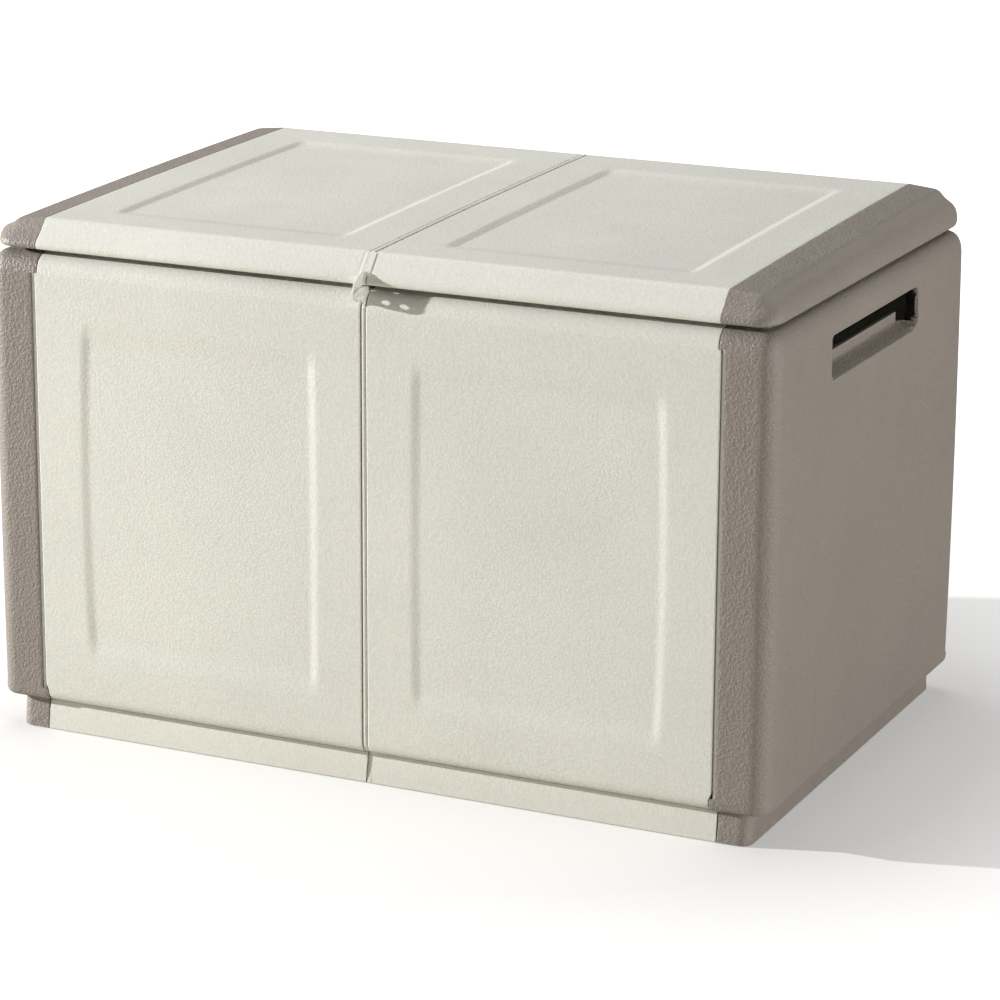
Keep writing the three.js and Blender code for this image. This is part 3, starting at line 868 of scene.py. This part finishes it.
def lid_field(x, y):
    """Depth of the sunken field in the top of a lid panel."""
    half = sizes().field_border / MM / 2
    across = ease(FIELD_X[0] - half, FIELD_X[0] + half, x) * (
        1 - ease(FIELD_X[1] - half, FIELD_X[1] + half, x))
    along = ease(LID_FIELD_Y[0] - LID_FIELD_END, LID_FIELD_Y[0] + LID_FIELD_END, y) * (
        1 - ease(LID_FIELD_Y[1] - LID_FIELD_END, LID_FIELD_Y[1] + LID_FIELD_END, y))
    return sizes().field_depth / MM * 1.15 * across * along


def lid_section(lift=0.0):
    """(y, z) over the lid from the front lip to the back lip."""
    front = [(-LID_D + d, z) for d, z in EDGE_SECTION]
    steps = [-276, -268, -258, -248, -241, -236, -231, -226, -221, -216, -211, -204, -192, -175,
             -155, -130, -105, -78, -50, -25]
    top = [(y, crown(y)) for y in steps + [0]] + [(-y, crown(-y)) for y in reversed(steps)]
    taller = (CROWN_Z - 0.6 - LIP_Z) / (BEVEL_Z - LIP_Z)
    back = [(-y, LIP_Z + (z - LIP_Z) * taller) for y, z in reversed(front)]
    points = front + top + back
    out = normals_of(points)
    return [(y + ny * lift, z + nz * lift) for (y, z), (ny, nz) in zip(points, out)]


def lid_panel_parts(side):
    """A lid panel's skin, the ribs under it and its hinge knuckles."""
    steps = PANEL_STEPS + (361, 366, 374, 386, 398, 407)
    edge = [(0.0, 1.5), (0.3, 0.5), (1.1, 0.0)]
    columns = ([(SEAM_X + x, tuck) for x, tuck in edge] + [(x, 0.0) for x in steps]
               + [(CAP_JOINT - x, tuck * 0.7) for x, tuck in reversed(edge)])
    section = lid_section()
    rows = []
    for (y, z), (ny, nz) in zip(section, normals_of(section)):
        rows.append([(x, y - ny * tuck, z - nz * tuck - lid_field(x, y)) for x, tuck in columns])
    skin = sheet("skin", mirrored(rows, side), (0, 0, 1))
    apply(skin, "SOLIDIFY", thickness=sizes().skin, offset=-1, use_even_offset=True)
    parts = [skin]
    rib = [(-288, 574.5), (-279, 574.5), (-264, 592), (264, 592), (279, 574.5), (288, 574.5),
           (286.5, 598)]
    rib += [(y, crown(y) - 3) for y in (270, 225, 180, 130, 70, 0, -70, -130, -180, -225, -270)]
    rib += [(-286.5, 598)]
    for x in (60, 200, 345):
        parts.append(plate(rib, side * x - 1.5, side * x + 1.5, soft=0.5))
    arm = [(299.5, 573.5), (304, 568.5), (309.5, 563), (313, 559), (320, 568.2), (327, 564.5),
           (325.5, 569), (319, 573.5), (311, 579), (303, 586), (297.5, 582)]
    for x in hinges_on(side):
        xa, xb = x - 8.5, x + 8.5
        parts.append(tube(KNUCKLE_R, KNUCKLE_WALL, xa, xb, HINGE_Y, HINGE_Z))
        parts.append(plate(arm, xa, xb, soft=0.7))
    return parts


class DECKBOX_OT_lid_panels(bpy.types.Operator):
    """Crowned lid panels with sunken fields, ribs underneath and the turning hinge knuckles"""
    bl_idname = "deckbox.lid_panels"
    bl_label = "Lid Panels"

    def execute(self, context):
        for side_name, side in SIDES:
            name = "lid_panel_" + side_name
            settle(join(name + "_moulding", lid_panel_parts(side)), "lid", "cream_resin", name)
        return {"FINISHED"}


def cap_top(x, y):
    """Height of an end cap's sloping top."""
    return crown(y) - END_SLOPE * max(0.0, x - CAP_JOINT)


def cap_ring(inset):
    """Points round an end cap at an inset from its edge."""
    return end_ring(CAP_W - inset, LID_D - inset, CAP_R - inset, CAP_START_X)


def edge_height(section, step, top):
    """Height at a step of an edge section that is stretched to reach a top."""
    return LIP_Z + (section[step][1] - LIP_Z) * (top - LIP_Z) / (section[-1][1] - LIP_Z)


def end_cap(side):
    """An end cap: a sloping top, a soft crease and a rounded edge that sweeps round the corners."""
    rows = []
    for step, ((front_inset, _), (end_inset, _)) in enumerate(zip(EDGE_SECTION, END_SECTION)):
        row = []
        for a, b, e in zip(cap_ring(front_inset), cap_ring(end_inset), cap_ring(EDGE_INSET)):
            share = a[4]
            x = a[0] * (1 - share) + b[0] * share
            y = a[1] * (1 - share) + b[1] * share
            top = cap_top(e[0], e[1])
            low, high = (edge_height(section, step, top) for section in (EDGE_SECTION, END_SECTION))
            row.append((x, y, low * (1 - share) + high * share))
        rows.append(row)
    for inset in TOP_INSETS:
        rows.append([(p[0], p[1], cap_top(p[0], p[1])) for p in cap_ring(inset)])
    skin = sheet("skin", mirrored(rows, side), (side * 0.5, 0, 1))
    apply(skin, "SOLIDIFY", thickness=sizes().skin, offset=-1)
    tongue_rows = [[(x, y, z) for x in (CAP_JOINT - 11, CAP_JOINT - 4, CAP_JOINT + 4)]
                   for y, z in lid_section(-4.6) if abs(y) < LID_STRIP_Y]
    tongue = sheet("tongue", mirrored(tongue_rows, side), (0, 0, 1))
    apply(tongue, "SOLIDIFY", thickness=0.0028, offset=-1)
    return [skin, tongue]


class DECKBOX_OT_end_caps(bpy.types.Operator):
    """Taupe end caps of the lid"""
    bl_idname = "deckbox.end_caps"
    bl_label = "Lid End Caps"

    def execute(self, context):
        for side_name, side in SIDES:
            name = "lid_end_cap_" + side_name
            settle(join(name + "_moulding", end_cap(side)), "lid", "taupe_resin", name)
        return {"FINISHED"}


class DECKBOX_OT_lid_strip(bpy.types.Operator):
    """The lid's centre strip: bead, lap down the front slope, cover strip and padlock ear"""
    bl_idname = "deckbox.lid_strip"
    bl_label = "Lid Centre Strip"

    def execute(self, context):
        half = [(-2.65, -3.4), (-2.6, -1.2), (-2.1, -0.3), (-1.2, -0.05)]
        across = half + [(0, 0)] + [(-x, rise) for x, rise in reversed(half)]
        bead = sheet("bead", raised(lid_section(0.35), across), (0, 0, 1))
        apply(bead, "SOLIDIFY", thickness=0.003, offset=-1)
        cover_x = (-COVER_X, -COVER_X + 1, 0, COVER_X - 1, COVER_X)
        cover_rows = [[(x, y, z) for x in cover_x]
                      for y, z in lid_section(-4.4) if abs(y) < LID_STRIP_Y]
        cover = sheet("cover", cover_rows, (0, 0, 1))
        apply(cover, "SOLIDIFY", thickness=0.003, offset=-1)
        slope = [p for p in lid_section() if -LID_D + 0.3 < p[0] < -LID_D + 23 and p[1] > 576]
        across = [(-6, -0.4), (-5.9, 0.6), (-5.3, 1.1), (-3.9, 1.1), (-3.2, 0.9), (0, 0.8),
                  (4.6, 0.8), (5.2, 0.9), (5.8, 0.6), (6, -0.4)]
        lap = sheet("lap", raised(slope, across), (0, -1, 0.5))
        apply(lap, "SOLIDIFY", thickness=0.0015, offset=-1)
        outline = [(-300, 574), (-308, 573), (-308.6, 560), (-311, 555.8), (-315.5, 554.8),
                   (-321.5, 557.2), (-326.4, 560), (EAR_Y, 564), (EAR_Y, 569), (-325, 576),
                   (-317, 582), (-307, 586), (-299, 586)]
        parts = [bead, cover, lap, ear(outline, -EAR_X[1], -EAR_X[0])]
        settle(join("lid_centre_strip_moulding", parts), "lid", "cream_resin", "lid_centre_strip")
        return {"FINISHED"}


# ------------------------------------------------------------------ hinge pins


class DECKBOX_OT_hinge_pins(bpy.types.Operator):
    """Four hinge pins, each with a domed head"""
    bl_idname = "deckbox.hinge_pins"
    bl_label = "Hinge Pins"

    def execute(self, context):
        turns = 28
        for number, (low, high) in enumerate(PINS, start=1):
            a, b = low.x, high.x
            head = b - 2.6
            profile = ((a, 0), (a, 2.4), (a + 0.3, 3.0), (a + 0.9, 3.4), (head - 0.1, 3.4),
                       (head, 4.9), (head + 0.3, 5.2), (head + 1.4, 5.2), (head + 2.1, 4.7),
                       (head + 2.5, 3.2), (b, 1.4), (b, 0))
            angles = [i * 2 * math.pi / turns for i in range(turns + 1)]
            rows = [[(x, HINGE_Y + r * math.cos(angle), HINGE_Z + r * math.sin(angle))
                     for angle in angles] for x, r in profile]
            pin = sheet(f"hinge_pin_{number}_turned", rows, (1, 0, 0))
            edit(pin)
            bpy.ops.mesh.select_all(action="SELECT")
            bpy.ops.mesh.normals_make_consistent(inside=False)
            leave_edit()
            settle(pin, "chest", "taupe_resin", f"hinge_pin_{number}")
        return {"FINISHED"}


# ------------------------------------------------------------------ studio


FLOOR_BOUNCE = (0.62, 0.60, 0.51, 1.0)
CAMERA_DOWN, CAMERA_ROLL, CAMERA_TURN = 15.84, -0.32, 25.21


def lamp(name, energy, location, towards, **settings):
    """An area lamp that faces a point."""
    data = bpy.data.lights.new(name, "AREA")
    data.energy = energy
    for key, value in settings.items():
        setattr(data, key, value)
    obj = bpy.data.objects.new(name, data)
    obj.location = location
    obj.rotation_euler = (Vector(towards) - Vector(location)).to_track_quat("-Z", "Y").to_euler()
    bpy.context.scene.collection.objects.link(obj)


class DECKBOX_OT_studio(bpy.types.Operator):
    """Pale studio floor, soft light and the camera"""
    bl_idname = "deckbox.studio"
    bl_label = "Studio"

    def execute(self, context):
        scene = context.scene
        bpy.ops.mesh.primitive_plane_add(size=60, location=(0, 0, -0.0004))
        floor = context.object
        floor.name = "studio_floor"
        paint = bpy.data.materials.new("studio_floor")
        paint.use_nodes = True
        shader = paint.node_tree.nodes["Principled BSDF"]
        shader.inputs["Roughness"].default_value = 0.9
        shader.inputs["Specular IOR Level"].default_value = 0.1
        # A glow seen by the camera alone lifts the floor to the white of the backdrop; it is weaker
        # near the box, which paints a shade round the box that fades outwards. The light that the
        # floor throws back on the box is warmer than the floor looks.
        tree = paint.node_tree
        rays = add_node(tree, "ShaderNodeLightPath")
        place = add_node(tree, "ShaderNodeTexCoord")
        away = add_node(tree, "ShaderNodeVectorMath", {0: place.outputs["Object"]},
                        operation="LENGTH")
        seen = rays.outputs["Is Camera Ray"]
        # Painted shade on the floor: the glow is weakest near the box and grows outwards.
        glow = spread(tree, away.outputs["Value"], 0.6, 1.9, 0.26, 1.0)
        glow = calculate(tree, "MULTIPLY", seen, glow)
        tree.links.new(glow, shader.inputs["Emission Strength"])
        base = blend_colour(tree, seen, FLOOR_BOUNCE, tuple(colours().floor))
        tree.links.new(base, shader.inputs["Base Color"])
        shader.inputs["Emission Color"].default_value = (1, 1, 1, 1)
        floor.data.materials.append(paint)
        world = bpy.data.worlds.new("studio")
        scene.world = world
        world.use_nodes = True
        sky = world.node_tree.nodes["Background"]
        sky.inputs["Color"].default_value = (1.0, 0.98, 0.90, 1.0)
        sky.inputs["Strength"].default_value = 0.22
        # The key comes low across the front from the left, the fill from the right.
        lamp("key", 790, (-6.43, -2.23, 1.94), (0, -0.25, 0.3), shape="DISK", size=0.14,
             color=(1.0, 0.99, 0.97))
        lamp("top", 34, (-0.5, 0.5, 3.2), (0, 0, 0.5), shape="DISK", size=2.2)
        lamp("fill", 122, (4.8, -0.85, 0.8), (0.4, 0, 0.3), shape="RECTANGLE", size=1.4,
             size_y=1.2, color=(1.0, 0.985, 0.97))
        data = bpy.data.cameras.new("camera")
        data.lens = 130.7
        data.clip_end = 200
        camera = bpy.data.objects.new("camera", data)
        camera.location = (1.7559, -3.7015, 1.4161)
        camera.rotation_euler = [
            math.radians(angle) for angle in (90 - CAMERA_DOWN, CAMERA_ROLL, CAMERA_TURN)]
        scene.collection.objects.link(camera)
        scene.camera = camera
        scene.view_settings.view_transform = "Standard"
        return {"FINISHED"}


class DECKBOX_PT_pieces(bpy.types.Panel):
    """The pieces of the storage box"""
    bl_idname = "DECKBOX_PT_pieces"
    bl_label = "Deck Storage Box"
    bl_space_type = "VIEW_3D"
    bl_region_type = "UI"
    bl_category = "Storage Box"

    def draw(self, context):
        column = self.layout.column(align=True)
        for operator in OPERATORS:
            column.operator(operator.bl_idname)
        for group in (context.scene.deck_box_sizes, context.scene.deck_box_colours):
            box = self.layout.box()
            for name in group.__annotations__:
                box.prop(group, name)


OPERATORS = (DECKBOX_OT_studio, DECKBOX_OT_wall_panels, DECKBOX_OT_centre_posts,
             DECKBOX_OT_end_panels, DECKBOX_OT_floor, DECKBOX_OT_lid_panels, DECKBOX_OT_end_caps,
             DECKBOX_OT_lid_strip, DECKBOX_OT_hinge_pins)
CLASSES = (BoxSizes, BoxColours, *OPERATORS, DECKBOX_PT_pieces)


def register():
    for cls in CLASSES:
        bpy.utils.register_class(cls)
    bpy.types.Scene.deck_box_sizes = bpy.props.PointerProperty(type=BoxSizes)
    bpy.types.Scene.deck_box_colours = bpy.props.PointerProperty(type=BoxColours)


def unregister():
    del bpy.types.Scene.deck_box_colours
    del bpy.types.Scene.deck_box_sizes
    for cls in reversed(CLASSES):
        bpy.utils.unregister_class(cls)


def main():
    register()
    bpy.ops.deckbox.studio()
    bpy.ops.deckbox.wall_panels()
    bpy.ops.deckbox.centre_posts()
    bpy.ops.deckbox.end_panels()
    bpy.ops.deckbox.floor()
    bpy.ops.deckbox.lid_panels()
    bpy.ops.deckbox.end_caps()
    bpy.ops.deckbox.lid_strip()
    bpy.ops.deckbox.hinge_pins()


if __name__ == "__main__":
    main()
